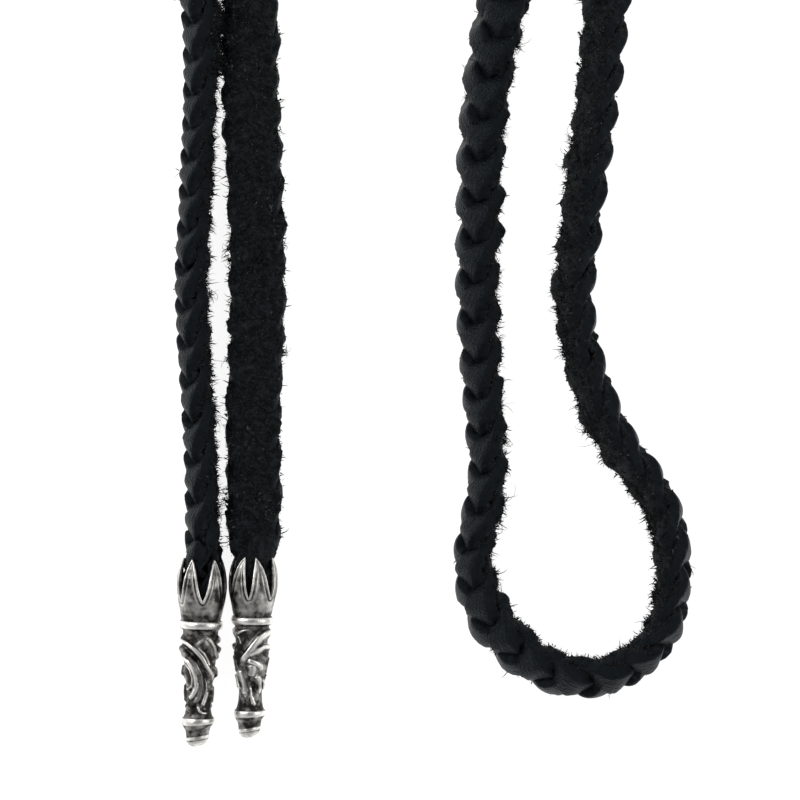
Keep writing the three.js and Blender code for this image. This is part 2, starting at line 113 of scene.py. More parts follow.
# The braid's route from the left tip to the right one on the lay-out plane. Its turn is how far the grain
# side leans from facing up towards the left of the way along, in degrees, and its size is against the
# driving one. A tip holds it between the two outermost places at either end.
ROUTE = [
    # x and y in millimetres, turn, size
    # left outer strand
    (-23.83, -24.72, 80, 0.9),
    (-23.64, -18.5, 80, 0.9),
    (-23.7, -16.9, 80, 0.92),
    (-23.82, -10.8, 80, 0.9),
    (-24.14, -3.0, 80, 0.89),
    (-24.74, 6.0, 80, 0.9),
    (-25.04, 15.0, 80, 0.9),
    (-24.62, 23.4, 80, 0.88),
    (-24.24, 32.0, 80, 0.87),
    (-23.92, 40.0, 81, 0.95),
    (-24.2, 48.0, 81, 1.0),
    # outer arch
    (-27.4, 62.0, 82, 1.0),
    (-35.5, 78.5, 83, 1.0),
    (-46.0, 94.0, 84, 1.0),
    (-57.4, 110.9, 85, 1.0),
    (-69.6, 145.5, 86, 1.0),
    (-62.0, 181.5, 88, 1.0),
    (-36.9, 208.3, 90, 1.0),
    (-1.5, 218.2, 92, 1.0),
    (33.9, 208.3, 94, 1.0),
    (59.0, 181.5, 97, 1.0),
    (66.6, 145.5, 101, 1.0),
    (54.4, 110.9, 106, 1.0),
    (44.0, 95.5, 110, 1.0),
    (35.3, 80.0, 114, 1.0),
    (28.8, 64.0, 117, 1.02),
    # right outer strand
    (25.1, 48.0, 119, 1.04),
    (24.3, 40.8, 119, 1.05),
    (23.46, 33.6, 116, 1.03),
    (22.4, 26.0, 114, 1.05),
    (21.6, 18.6, 114, 1.0),
    (20.95, 13.2, 114, 1.0),
    (21.45, 8.0, 109, 1.0),
    (22.58, 3.4, 108, 1.01),
    (24.15, -1.2, 110, 1.05),
    (26.38, -5.4, 110, 1.02),
    (29.34, -9.3, 109, 1.0),
    (31.7, -13.5, 104, 0.98),
    (32.75, -18.4, 100, 0.97),
    # end loop
    (32.63, -22.9, 95, 0.97),
    (31.65, -27.4, 89, 1.0),
    (29.0, -30.8, 81, 1.0),
    (25.36, -32.8, 73, 1.04),
    (21.5, -33.4, 66, 1.04),
    (17.5, -32.35, 62, 1.03),
    (13.87, -29.85, 56, 1.05),
    (10.8, -26.45, 55, 1.04),
    (9.1, -22.35, 63, 1.0),
    (8.7, -18.2, 70, 0.94),
    # right inner strand
    (9.6, -14.0, 70, 0.98),
    (10.36, -8.6, 73, 0.96),
    (10.02, -2.4, 70, 0.98),
    (9.5, 4.8, 65, 0.97),
    (9.15, 13.0, 61, 0.98),
    (9.3, 21.6, 57, 0.98),
    (9.58, 30.0, 54, 1.0),
    (10.54, 39.0, 49, 1.02),
    (12.28, 48.0, 42, 1.05),
    # inner arch
    (17.0, 64.0, 50, 1.02),
    (25.5, 81.0, 58, 1.0),
    (36.8, 98.0, 67, 1.0),
    (49.1, 114.6, 77, 1.0),
    (60.2, 146.0, 84, 1.0),
    (53.3, 178.5, 88, 1.0),
    (30.6, 202.8, 90, 1.0),
    (-1.5, 211.8, 92, 1.0),
    (-33.6, 202.8, 96, 1.0),
    (-56.3, 178.5, 102, 1.0),
    (-63.2, 146.0, 112, 1.0),
    (-52.1, 114.6, 130, 1.0),
    (-40.7, 97.6, 145, 1.0),
    (-29.8, 81.5, 160, 1.0),
    (-21.6, 64.5, 172, 1.02),
    # left inner strand
    (-18.0, 48.0, 178, 1.04),
    (-17.95, 40.0, 180, 1.04),
    (-17.8, 32.0, 180, 1.05),
    (-17.35, 24.0, 180, 1.05),
    (-17.15, 15.0, 180, 1.04),
    (-17.25, 6.5, 180, 1.04),
    (-17.58, -1.5, 180, 1.04),
    (-17.6, -9.0, 180, 1.03),
    (-17.58, -16.7, 180, 1.02),
    (-17.56, -18.25, 180, 1.0),
    (-17.71, -24.3, 180, 1.0),
]

# A hand-made plait is pulled tighter here and looser there.
PLAIT_LEAD = [
    # distance along the cord from the left tip, how far the plait runs ahead there, in millimetres
    (8, -1.0), (28, -1.0), (37, -0.1), (47, 0.2), (54, 1.2), (62, 3.0), (70, 3.8),  # left outer strand
    (515, 1.7), (530, 1.9), (536, 2.0), (541, 1.4), (552, 1.3), (559, 0.1),  # right outer strand
    (574, -0.2), (588, 0.0), (597, 0.7), (620, 0.7),  # end loop
    (627, 1.2), (641, 1.6), (648, 2.4), (660, 2.5), (676, 2.1), (684, 1.7),  # right inner strand
    (1118, 1.8), (1130, 3.4), (1140, 4.0), (1156, 4.8), (1180, 5.0),  # left inner strand
]

# ---- the end tips ----

CROWN_RADIUS = 3.05 * MM
CROWN_WIDEST_AT = 3.4 * MM
TIP_TILT = math.radians(2.2)
RIGHT_TIP_SIZE = 0.965  # against the left one
LEFT_TIP_START = -19.0 * MM  # lay-out y of the tips' claw points
RIGHT_TIP_START = -18.75 * MM

# Outer radius of the crown's claws and their wall, along a tip. Distances along a tip are from its claw
# points, in millimetres as everything in the tables below.
CROWN = [
    # s, radius, wall
    (0.0, 2.26, 0.18),
    (0.5, 2.48, 0.26),
    (1.3, 2.76, 0.38),
    (2.3, 2.97, 0.5),
    (3.4, 3.05, 0.55),
    (4.3, 3.0, 0.6),
    (5.0, 2.88, 0.65),
    (6.2, 2.6, 0.7),
    (7.0, 2.44, 0.7),
    (7.5, 2.3, 0.7),
]

rng = np.random.default_rng(11)


# ---- small helpers ----


def shade(hex_colour):
    """An sRGB hex colour as the linear one that sockets take."""
    parts = [int(hex_colour[i : i + 2], 16) / 255 for i in (1, 3, 5)]
    linear = [p / 12.92 if p <= 0.04045 else ((p + 0.055) / 1.055) ** 2.4 for p in parts]
    return (*linear, 1.0)


def add_node(tree, kind, sockets=None, **settings):
    """A shader node with its settings, and its sockets' values or links."""
    node = tree.nodes.new("ShaderNode" + kind)
    for name, value in settings.items():
        setattr(node, name, value)
    for key, value in (sockets or {}).items():
        if isinstance(value, bpy.types.NodeSocket):
            tree.links.new(value, node.inputs[key])
        else:
            node.inputs[key].default_value = value
    return node


def new_material(name):
    """An empty material and its node tree."""
    material = bpy.data.materials.new(name)
    material.use_nodes = True
    material.node_tree.nodes.clear()
    return material, material.node_tree


def surface(tree, sockets):
    """A material's surface."""
    shader = add_node(tree, "BsdfPrincipled", sockets)
    add_node(tree, "OutputMaterial", {"Surface": shader.outputs[0]})


def coordinates(tree, kind):
    return add_node(tree, "TexCoord").outputs[kind]


def noise(tree, place, grain, detail):
    """Noise whose lumps are about a grain across, in millimetres."""
    sockets = {"Vector": place, "Scale": 1 / (grain * MM), "Detail": detail}
    return add_node(tree, "TexNoise", sockets).outputs["Fac"]


def stretched(tree, across, along):
    """A lace's own coordinates, stretched either way."""
    sockets = {"Vector": coordinates(tree, "UV"), "Scale": (across, along, 1.0)}
    return add_node(tree, "Mapping", sockets).outputs[0]


def calculated(tree, operation, *values, clamped=False):
    sockets = dict(enumerate(values))
    return add_node(tree, "Math", sockets, operation=operation, use_clamp=clamped).outputs[0]


def toned(tree, factor, dark, light):
    """A colour between two hex ones."""
    sockets = {"Factor": factor, "A": shade(dark), "B": shade(light)}
    return add_node(tree, "Mix", sockets, data_type="RGBA").outputs["Result"]


def bumped(tree, height, strength, depth):
    """The normal of a bump, with its depth in millimetres."""
    sockets = {"Height": height, "Strength": strength, "Distance": depth * MM}
    return add_node(tree, "Bump", sockets).outputs[0]


def unit(vectors):
    """The vectors at length 1."""
    return vectors / np.linalg.norm(vectors, axis=-1, keepdims=True)


def soft_step(low, high, value):
    """0 up to low, 1 from high on, and a smooth rise between them."""
    t = np.clip((value - low) / (high - low), 0, 1)
    return t * t * (3 - 2 * t)


def between(rise, fall, value):
    """1 from the end of a rise to the start of a fall, and 0 outside them."""
    return soft_step(*rise, value) * (1 - soft_step(*fall, value))


def new_object(name, data):
    """An object in the scene."""
    made = bpy.data.objects.new(name, data)
    bpy.context.scene.collection.objects.link(made)
    return made


def new_mesh(name, bm):
    """A mesh from a bmesh, which is freed."""
    mesh = bpy.data.meshes.new(name)
    bm.to_mesh(mesh)
    bm.free()
    return mesh


def mesh_points(mesh):
    flat = np.empty(len(mesh.vertices) * 3, np.float32)
    mesh.vertices.foreach_get("co", flat)
    return flat.reshape(-1, 3)


def move_points(mesh, points):
    mesh.vertices.foreach_set("co", points.astype(np.float32).ravel())


def face_corners(mesh):
    """The vertex at each corner of each face."""
    corner = np.empty(len(mesh.loops), np.int32)
    mesh.loops.foreach_get("vertex_index", corner)
    return corner


def bent_grid(name, points, uv=None):
    """A grid whose vertices take the places in points, with the row and the column of each."""
    rows, columns = points.shape[0] - 1, points.shape[1] - 1
    bm = bmesh.new()
    bmesh.ops.create_grid(bm, x_segments=columns, y_segments=rows, size=0.5)
    mesh = new_mesh(name, bm)
    flat = mesh_points(mesh)
    column = np.rint((flat[:, 0] + 0.5) * columns).astype(int)
    row = np.rint((flat[:, 1] + 0.5) * rows).astype(int)
    move_points(mesh, points[row, column])
    if uv is not None:
        corner = face_corners(mesh)
        layer = mesh.uv_layers.new(name="UVMap")
        layer.uv.foreach_set("vector", uv[row[corner], column[corner]].astype(np.float32).ravel())
    return mesh, row, column


# ---- camera, lights and floor ----

VIEW_WIDTH = 96.0 * MM  # across the view at the height of the cord's middle
CORD_HEIGHT = 2.9 * MM
CAMERA_LENS = 200.0
CAMERA_SENSOR = 36.0
FLOOR_SIZE = 3.0


def add_camera():
    """Straight down on the hanging strands and the end loop, with little perspective."""
    data = bpy.data.cameras.new("camera")
    data.lens = CAMERA_LENS
    data.sensor_width = CAMERA_SENSOR
    camera = new_object("camera", data)
    height = VIEW_WIDTH * CAMERA_LENS / CAMERA_SENSOR
    camera.location = (-LAYOUT_MIDDLE[0], -LAYOUT_MIDDLE[1], height + CORD_HEIGHT)
    bpy.context.scene.camera = camera


def add_softbox(name, place, size, power):
    """A square soft light that faces the middle of the hanging strands."""
    data = bpy.data.lights.new(name, "AREA")
    data.size = size
    data.energy = power
    box = new_object(name, data)
    aim = Vector((-LAYOUT_MIDDLE[0], -LAYOUT_MIDDLE[1], 0.0))
    box.location = aim + Vector(place)
    box.rotation_mode = "QUATERNION"
    box.rotation_quaternion = (aim - box.location).to_track_quat("-Z", "Y")
    box.visible_camera = False


def add_world():
    """A light tent: dim straight overhead, where the camera looks in, and bright round the sides."""
    world = bpy.data.worlds.new("light_tent")
    world.use_nodes = True
    tree = world.node_tree
    tree.nodes.clear()
    height = add_node(tree, "SeparateXYZ", {0: coordinates(tree, "Generated")}).outputs["Z"]
    dimming = add_node(
        tree,
        "MapRange",
        {"Value": height, "From Min": 0.72, "From Max": 0.97, "To Min": 0.75, "To Max": 0.16},
        interpolation_type="SMOOTHSTEP",
    )
    background = add_node(tree, "Background", {"Strength": dimming.outputs[0]})
    add_node(tree, "OutputWorld", {"Surface": background.outputs[0]})
    bpy.context.scene.world = world


def add_floor():
    """A pale sheet, lit from inside as on a light table."""
    material, tree = new_material("white_acrylic_sheet")
    glow = {"Emission Color": (1.0, 1.0, 1.0, 1.0), "Emission Strength": 0.9}
    surface(tree, {"Base Color": shade("#b4b4b4"), "Roughness": 0.9, "Specular IOR Level": 0.1, **glow})
    bm = bmesh.new()
    bmesh.ops.create_grid(bm, x_segments=1, y_segments=1, size=FLOOR_SIZE)
    floor = new_object("floor", new_mesh("floor", bm))
    floor.data.materials.append(material)


add_camera()
add_world()
add_floor()
add_softbox("softbox_left", (-0.45, 0.25, 0.4), size=0.35, power=1.6)
add_softbox("softbox_right", (0.5, 0.05, 0.3), size=0.3, power=0.6)
bpy.context.scene.view_settings.view_transform = "Standard"

# ---- the route and its frames ----


def centripetal_curve(points, steps):
    """A centripetal Catmull-Rom curve through the points, with a number of steps to each span."""
    ends = np.vstack([2 * points[0] - points[1], points, 2 * points[-1] - points[-2]])
    knots = np.sqrt(np.linalg.norm(np.diff(ends, axis=0), axis=1))[:, None, None]
    before, start, finish, after = (ends[i : len(ends) - 3 + i, None, :] for i in range(4))
    d0, d1, d2 = knots[:-2], knots[1:-1], knots[2:]
    leave = ((start - before) / d0 - (finish - before) / (d0 + d1) + (finish - start) / d1) * d1
    arrive = ((finish - start) / d1 - (after - start) / (d1 + d2) + (after - finish) / d2) * d1
    t = (np.arange(steps) / steps)[None, :, None]
    curve = start + leave * t
    curve = curve + (3 * (finish - start) - 2 * leave - arrive) * t**2
    curve = curve + (2 * (start - finish) + leave + arrive) * t**3
    return np.vstack([curve.reshape(-1, points.shape[1]), points[-1:]])


def unit_section():
    """The braid's outer section, 1 either way."""
    angle = (np.arange(BRAID_SIDES) + 0.5) * 2 * np.pi / BRAID_SIDES
    wave = np.stack([np.cos(angle), np.sin(angle)], axis=1)
    return np.sign(wave) * np.abs(wave) ** (2 / BRAID_SQUARENESS)


def tip_axis_height(size, s):
    """Height of a tip's axis at a distance along it from its claw points."""
    return size * CROWN_RADIUS + (size * CROWN_WIDEST_AT - s) * math.sin(TIP_TILT)


def route_spine():
    """The braid's middle line at every ring of the laces: distance along, place, frame, size and grip, how
    far it swells in a crown, and the room there."""
    table = np.array(ROUTE)
    line = centripetal_curve(table[:, :2] * MM, CURVE_STEPS)
    row = np.arange(len(line)) / CURVE_STEPS
    gone = np.concatenate([[0.0], np.cumsum(np.linalg.norm(np.diff(line, axis=0), axis=1))])
    step = np.where(line[:, 1] > ARCH_START, ARCH_STEP, SHOWN_STEP)
    ring_number = np.concatenate([[0.0], np.cumsum(np.diff(gone) / step[1:])])
    rings = np.arange(int(ring_number[-1]) + 1)
    s = np.interp(rings, ring_number, gone)
    at = np.interp(s, gone, row)
    x, y = (np.interp(s, gone, line[:, i]) for i in (0, 1))
    last = len(table) - 1
    roll, full = (np.interp(at, np.arange(len(table)), table[:, i]) for i in (2, 3))
    grip = np.interp(at, [1, 2, last - 2, last - 1], [1, 0, 0, 1])
    roll = np.radians(roll)
    half_width = (full * BRAID_WIDTH * (1 - grip) + GRIPPED_DIAMETER * grip) / 2
    half_thickness = (full * BRAID_THICKNESS * (1 - grip) + GRIPPED_DIAMETER * grip) / 2
    section = unit_section()
    drop = np.outer(section[:, 0], half_width * np.sin(roll))
    drop = drop - np.outer(section[:, 1], half_thickness * np.cos(roll))
    resting = drop.max(axis=0) - PRESSED_FLAT
    at_left = s < s[-1] / 2
    held_at = np.where(at_left, LEFT_TIP_START, RIGHT_TIP_START) - y
    size = np.where(at_left, 1.0, RIGHT_TIP_SIZE)
    held = tip_axis_height(size, held_at)
    crown = np.array(CROWN)
    inside = np.interp(held_at / MM / size, crown[:, 0], crown[:, 1] - crown[:, 2]) * size * MM
    room = np.where(grip * held_at > 0, inside - CROWN_CLEARANCE, BRAID_WIDTH)
    swell = soft_step(SWELLS_FROM, SWELLS_TO, held_at) * grip
    full = full + (1 - full) * grip
    z = resting + (held - resting) * grip
    place = np.stack([x - LAYOUT_MIDDLE[0], y - LAYOUT_MIDDLE[1], z], axis=1)
    along = unit(np.gradient(place, s, axis=0))
    left = unit(np.stack([-along[:, 1], along[:, 0], np.zeros_like(x)], axis=1))
    up = np.cross(along, left)
    grain = up * np.cos(roll)[:, None] + left * np.sin(roll)[:, None]
    across = np.cross(grain, along)
    return SimpleNamespace(s=s, place=place, across=across, grain=grain, full=full, grip=grip,
                           swell=swell, room=room)


SPINE = route_spine()


# ---- leather ----


def lace_path(number):
    """A lace's middle line through the plait, and its own sideways and outward directions."""
    lead = np.array(PLAIT_LEAD) * MM
    ahead = np.interp(SPINE.s, lead[:, 0], lead[:, 1])
    turn = 2 * np.pi * ((SPINE.s + ahead) / PLAIT_LENGTH + number / LACES)
    narrower = SPINE.full * (1 + GRIPPED_SWING * SPINE.grip + SWOLLEN_SWING * SPINE.swell)
    thicker = SPINE.full * (1 + GRIPPED_WEAVE * SPINE.grip)
    side = (SWING * np.sin(turn) * narrower)[:, None] * SPINE.across
    lift = (WEAVE * np.sin(2 * turn) * thicker)[:, None] * SPINE.grain
    place = SPINE.place + side + lift
    along = unit(np.gradient(place, SPINE.s, axis=0))
    grain = SPINE.grain
    flat_out = unit(grain - np.sum(grain * along, axis=1)[:, None] * along)
    flat_side = np.cross(flat_out, along)
    lean = (EVENED_LEAN * LACE_LEAN * np.sin(2 * turn) + EDGE_LEAN) * np.sin(turn)
    c, s = np.cos(lean)[:, None], np.sin(lean)[:, None]
    return place, flat_side * c - flat_out * s, flat_out * c + flat_side * s


def crumble(rings, columns, passes):
    """Noise over a lace's skin, closed round it and smoothed in a number of passes."""
    field = rng.standard_normal((rings, columns))
    for _ in range(passes):
        ahead, behind = np.roll(field, 1, axis=0), np.roll(field, -1, axis=0)
        over, under = np.roll(field, 1, axis=1), np.roll(field, -1, axis=1)
        field = field * 0.4 + (ahead + behind) * 0.2 + (over + under) * 0.1
    return field / field.std()


def lace_section():
    """A lace's section, 1 either way, and the leather that each of its points belongs to."""
    half = np.array(LACE_SECTION)
    other = half[::-1] * (-1, 1, 1)
    p, q, leather = np.vstack([half, other]).T
    return p, q, leather


def in_braid(points):
    """Where points are in the braid's outer form: across it, through it, and 1 on its surface."""
    away = points - SPINE.place[:, None, :]
    full = SPINE.full[:, None]
    a = np.sum(away * SPINE.across[:, None, :], axis=2) / (BRAID_WIDTH / 2 * full)
    b = np.sum(away * SPINE.grain[:, None, :], axis=2) / (BRAID_THICKNESS / 2 * full)
    envelope = (np.abs(a) ** BRAID_SQUARENESS + np.abs(b) ** BRAID_SQUARENESS) ** (1 / BRAID_SQUARENESS)
    return away, b, envelope


def matted_flesh(points, leather):
    """How far the matted nap fills the flesh side's hollows, towards the braid's outer form."""
    away, b, envelope = in_braid(points)
    low_side = np.where(leather == 2, soft_step(*MATTED_FLESH, b), soft_step(*MATTED_EDGES, b))
    gap = np.clip(MATTED_OUT_TO - envelope, 0, 1) * soft_step(*MATTED_FROM, envelope)
    gap = gap * low_side * (leather > 0)
    return away * (MATTING * gap / np.maximum(envelope, 0.1))[..., None]


def lace_skin(number):
    """A lace's rings as points, with their places along and round it in metres."""
    place, side, out = lace_path(number)
    rings = len(place)
    p, q, leather = lace_section()
    full = SPINE.full[:, None]
    grip = (SPINE.grip + SWOLLEN_GRIP * SPINE.swell)[:, None]
    wander = 1 + WIDTH_WANDER * crumble(rings, 1, passes=60)
    half_width = LACE_WIDTH / 2 * full * (1 + GRIPPED_LACE_WIDTH * grip) * wander
    half_thick = LACE_THICKNESS / 2 * full * (1 + GRIPPED_LACE_THICKNESS * grip)
    lumps = crumble(rings, LACE_COLUMNS, passes=2) + 0.8 * crumble(rings, LACE_COLUMNS, passes=6)
    swell = FLESH_LUMPS * lumps * np.array(LUMPS_BY_LEATHER)[leather.astype(int)]
    swell = swell + GRAIN_LUMPS * crumble(rings, LACE_COLUMNS, passes=8) * (leather == 0)
    reach = np.hypot(p * LACE_WIDTH, q * LACE_THICKNESS)
    sideways = p * half_width + swell * p * LACE_WIDTH / reach
    outwards = q * half_thick + swell * q * LACE_THICKNESS / reach
    points = place[:, None, :] + sideways[..., None] * side[:, None, :]
    points = points + outwards[..., None] * out[:, None, :]
    points = points + matted_flesh(points, leather)
    away = points - SPINE.place[:, None, :]
    off_axis = np.linalg.norm(away, axis=2, keepdims=True)
    points = points - away * np.clip(1 - SPINE.room[:, None, None] / off_axis, 0, 1)
    points[..., 2] = np.maximum(points[..., 2], SKIN_OVER_FLOOR)
    round_way = np.cumsum(np.hypot(np.diff(p, append=p[0]) * LACE_WIDTH / 2,
                                   np.diff(q, append=q[0]) * LACE_THICKNESS / 2))
    round_way = np.concatenate([[0.0], round_way])
    uv = np.stack(np.broadcast_arrays(SPINE.s[:, None], round_way[None, :]), axis=-1)
    return np.concatenate([points, points[:, :1]], axis=1), uv


def weld_tube(mesh, near):
    """Welds a bent grid's seam, closes its two ends and turns its faces outwards."""
    bm = bmesh.new()
    bm.from_mesh(mesh)
    bmesh.ops.remove_doubles(bm, verts=bm.verts, dist=near)
    rim = [edge for edge in bm.edges if edge.is_boundary]
    bmesh.ops.holes_fill(bm, edges=rim, sides=0)
    bmesh.ops.recalc_face_normals(bm, faces=bm.faces)
    bm.to_mesh(mesh)
    bm.free()


def add_lace(number, materials):
    """One of the plait's laces, with its skin's points."""
    points, uv = lace_skin(number)
    mesh, _, column = bent_grid(f"lace_{number + 1}", points, uv)
    for material in materials:
        mesh.materials.append(material)
    _, _, leather = lace_section()
    kind = np.minimum(leather, np.roll(leather, -1))
    face_column = column[face_corners(mesh)].reshape(-1, 4).min(axis=1)
    mesh.polygons.foreach_set("material_index", kind[face_column].astype(np.int32))
    mesh.polygons.foreach_set("use_smooth", np.ones(len(mesh.polygons), bool))
    weld_tube(mesh, 1e-7)
    lace = new_object(mesh.name, mesh)
    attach(lace, "root")
    return lace, points


WAXED = {"Specular Tint": shade("#cfe2f2")}


def leather_surface(tree, colour, normal, roughness, specular, **more):
    sockets = {"Base Color": colour, "Roughness": roughness, "Specular IOR Level": specular}
    surface(tree, {**sockets, "Normal": normal, **more})


def grain_leather():
    """Black full-grain leather, drum-dyed and lightly waxed: a soft sheen over fine pebbles and creases."""
    material, tree = new_material("waxed_full_grain_leather")
    place = coordinates(tree, "Object")
    # Pebbles are about a quarter of a millimetre across, and creases run along the lace every half one.
    pebbles = add_node(tree, "TexVoronoi", {"Vector": place, "Scale": 1 / (0.26 * MM)})
    creases = noise(tree, stretched(tree, 0.22, 1.0), grain=0.5, detail=3.0)
    rounded = calculated(tree, "MULTIPLY", pebbles.outputs["Distance"], 0.7)
    relief = calculated(tree, "ADD", creases, rounded)
    colour = toned(tree, noise(tree, place, grain=1.6, detail=2.0), "#07090a", "#0f1316")
    normal = bumped(tree, relief, strength=0.9, depth=0.2)
    leather_surface(tree, colour, normal, roughness=0.46, specular=0.19, **WAXED)
    return material


def cut_leather():
    """The laces' cut edges: dyed, rubbed fibres, matt but smoother than the flesh side."""
    material, tree = new_material("dyed_cut_leather_edge")
    fibres = noise(tree, coordinates(tree, "Object"), grain=0.3, detail=4.0)
    colour = toned(tree, fibres, "#07090a", "#16191b")
    normal = bumped(tree, fibres, strength=0.8, depth=0.14)
    leather_surface(tree, colour, normal, roughness=0.62, specular=0.16, **WAXED)
    return material


def flesh_leather(name, dark, light):
    """The laces' flesh side and its loose crumbs and fibres: black suede, matt, with a faint nap."""
    material, tree = new_material(name)
    raised = noise(tree, coordinates(tree, "Object"), grain=0.22, detail=5.0)
    combed = noise(tree, stretched(tree, 1.0, 0.32), grain=0.3, detail=3.0)
    both = add_node(tree, "Mix", {"Factor": 0.5, "A": raised, "B": combed}).outputs[0]
    level = add_node(tree, "MapRange", {"Value": both, "From Min": 0.44, "From Max": 0.66})
    colour = toned(tree, level.outputs[0], dark, light)
    sheen = {"Sheen Weight": 0.04, "Sheen Roughness": 0.6}
    normal = bumped(tree, both, strength=1.0, depth=0.26)
    leather_surface(tree, colour, normal, roughness=0.95, specular=0.1, **sheen)
    return material


LEATHERS = [grain_leather(), cut_leather(), flesh_leather("black_split_suede", "#050708", "#26292d")]
laces = [add_lace(number, LEATHERS) for number in range(LACES)]
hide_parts("braided_cord")

# ---- the nap ----

ARCH_SHARE = 0.12  # how thick the nap is on the neck arch, against the shown strands
NAP_OVER_FLOOR = 0.01 * MM
NO_NAP_UNDER = 0.3 * MM

# The left strands rub against each other where they close up, so the nap is this much thicker there.
RUBBED_AT = -21.3 * MM  # lay-out x
RUBBED_FROM = 39.0 * MM  # lay-out y
RUBBED_THICKER = 9
TUFT_SPREAD = 0.17 * MM
ROOT_SPREAD = 0.07 * MM
CLUMPING = 0.7  # how much thicker and thinner the nap gets along the cord
LODGED = 0.9  # how far nap fills the hollows between the laces
OPEN_FROM = (0.4, 0.75)  # of the braid's outer form, and nap grows only outside that
CRUMB_SIZES = 0.42  # spread of their logarithms
CRUMB_LIFT = 0.04 * MM
HAIR_LENGTHS = 0.4
HAIR_RADII = 0.2
HAIR_TAPER = 0.55


def joined_copies(name, bm, count):
    """Many copies of one small closed shape as one piece, and the shape's own points."""
    mesh = new_mesh(name, bm)
    shape = mesh_points(mesh).astype(float)
    piece = new_object(name, mesh)
    copies = piece.modifiers.new("copies", "ARRAY")
    copies.count = count
    copies.use_merge_vertices = False
    evaluated = piece.evaluated_get(bpy.context.evaluated_depsgraph_get())
    joined = bpy.data.meshes.new_from_object(evaluated)
    joined.name = name
    piece.modifiers.clear()
    piece.data = joined
    bpy.data.meshes.remove(mesh)
    return piece, shape


def nap_roots(count, tufts=0, edges=0.25, sides=0.0):
    """Places on the open flesh side and, as thick as edges says, on the cut edges, with their normals. They
    are spread, or gathered in tufts, and as much thicker on the cord's sides as sides says."""
    p, q, leather = lace_section()
    kind = np.minimum(leather, np.roll(leather, -1))
    breadth = np.hypot((np.roll(p, -1) - p) * LACE_WIDTH, (np.roll(q, -1) - q) * LACE_THICKNESS)
    fuzz = np.array([0.0, edges, 1.0])[kind.astype(int)] * breadth
    places, normals, weights = [], [], []
    ring_step = np.gradient(SPINE.s)
    thin = np.where(SPINE.place[:, 1] + LAYOUT_MIDDLE[1] > ARCH_START, ARCH_SHARE, 1.0)
    clumps = np.exp(CLUMPING * crumble(len(thin), 1, passes=14))[:, 0]
    for _, points in laces:
        skin = points[:, :-1]
        normal = unit(np.cross(np.roll(skin, -1, axis=1) - np.roll(skin, 1, axis=1),
                               np.gradient(skin, axis=0)))
        middle = skin.mean(axis=1, keepdims=True)
        normal = normal * np.sign(np.sum(normal * (skin - middle), axis=2, keepdims=True))
        away, _, envelope = in_braid(skin)
        open_side = soft_step(*OPEN_FROM, envelope) * (np.sum(normal * away, axis=2) > 0)
        open_side = open_side * (1 + sides * (1 - np.abs(normal[..., 2])))
        off_rubbed = np.abs(skin[..., 0] + LAYOUT_MIDDLE[0] - RUBBED_AT)
        rubbed = (skin[..., 1] + LAYOUT_MIDDLE[1] > RUBBED_FROM) * (off_rubbed < MM)
        open_side = open_side * (1 + RUBBED_THICKER * rubbed)
        off_floor = skin[..., 2] > NO_NAP_UNDER
        off_tips = soft_step(0.0, 0.6, 1 - SPINE.grip)[:, None]
        weight = fuzz[None, :] * open_side * off_floor * off_tips * (thin * clumps * ring_step)[:, None]
        # What is lodged in the hollows between the laces fills them up towards the outside.
        fill = rng.random(envelope.shape) * np.maximum(1 - envelope, 0) * LODGED * (leather == 2)
        fill = fill * (edges > 0)
        skin = skin + fill[..., None] * away
        skin = skin + rng.random(envelope.shape)[..., None] * (np.roll(skin, -1, axis=1) - skin)
        places.append(skin.reshape(-1, 3))
        normals.append(normal.reshape(-1, 3))
        weights.append(weight.ravel())
    places, normals, weights = (np.concatenate(part) for part in (places, normals, weights))
    chosen = rng.choice(len(weights), size=tufts or count, p=weights / weights.sum())
    if tufts:
        chosen = rng.choice(chosen, size=count)
    spread = TUFT_SPREAD if tufts else ROOT_SPREAD
    return places[chosen] + rng.normal(0, spread, (count, 3)), normals[chosen]


def finish_nap(piece, points, material):
    """Gives the joined copies their places, clear of the floor."""
    points[..., 2] = np.maximum(points[..., 2], NAP_OVER_FLOOR)
    move_points(piece.data, points)
    piece.data.materials.append(material)
    piece.data.update()
    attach(piece, "root")
    return piece


def add_crumbs(name, count, size, edges, material):
    """Crumbs of suede: slivers of four faces, most of them about a quarter of a millimetre long."""
    bm = bmesh.new()
    bmesh.ops.create_cone(bm, cap_ends=True, segments=3, radius1=0.94, radius2=0.0, depth=1.33)
    piece, shape = joined_copies(name, bm, count)
    root, normal = nap_roots(count, edges=edges)
    size = size * MM * np.exp(CRUMB_SIZES * rng.standard_normal(count))
    first = unit(rng.standard_normal((count, 3)))
    second = unit(np.cross(first, rng.standard_normal((count, 3))))
    third = np.cross(first, second)
    longer = 1.4 + 2.4 * rng.random(count)
    frames = np.stack([first, second, third * longer[:, None]], axis=1)
    turned = np.einsum("vk,nkj->nvj", shape, frames)
    lift = rng.exponential(CRUMB_LIFT, count)[:, None] * normal
    points = (root + lift)[:, None, :] + turned * size[:, None, None]
    return finish_nap(piece, points, material)


def hair_shape(stations):
    """A three-sided spike, 1 long, with a ring at each station between its foot and its point."""
    bm = bmesh.new()
    made = bmesh.ops.create_cone(bm, cap_ends=True, segments=3, radius1=1.0, radius2=1.0, depth=1.0)
    bmesh.ops.translate(bm, verts=made["verts"], vec=(0, 0, 0.5))
    sides = [edge for edge in bm.edges if abs(edge.verts[0].co.z - edge.verts[1].co.z) > 0.5]
    bmesh.ops.subdivide_edges(bm, edges=sides, cuts=stations - 1, use_grid_fill=True)
    top = [vert for vert in bm.verts if vert.co.z > 0.99]
    bmesh.ops.pointmerge(bm, verts=top, merge_co=(0, 0, 1))
    bmesh.ops.recalc_face_normals(bm, faces=bm.faces)
    return bm


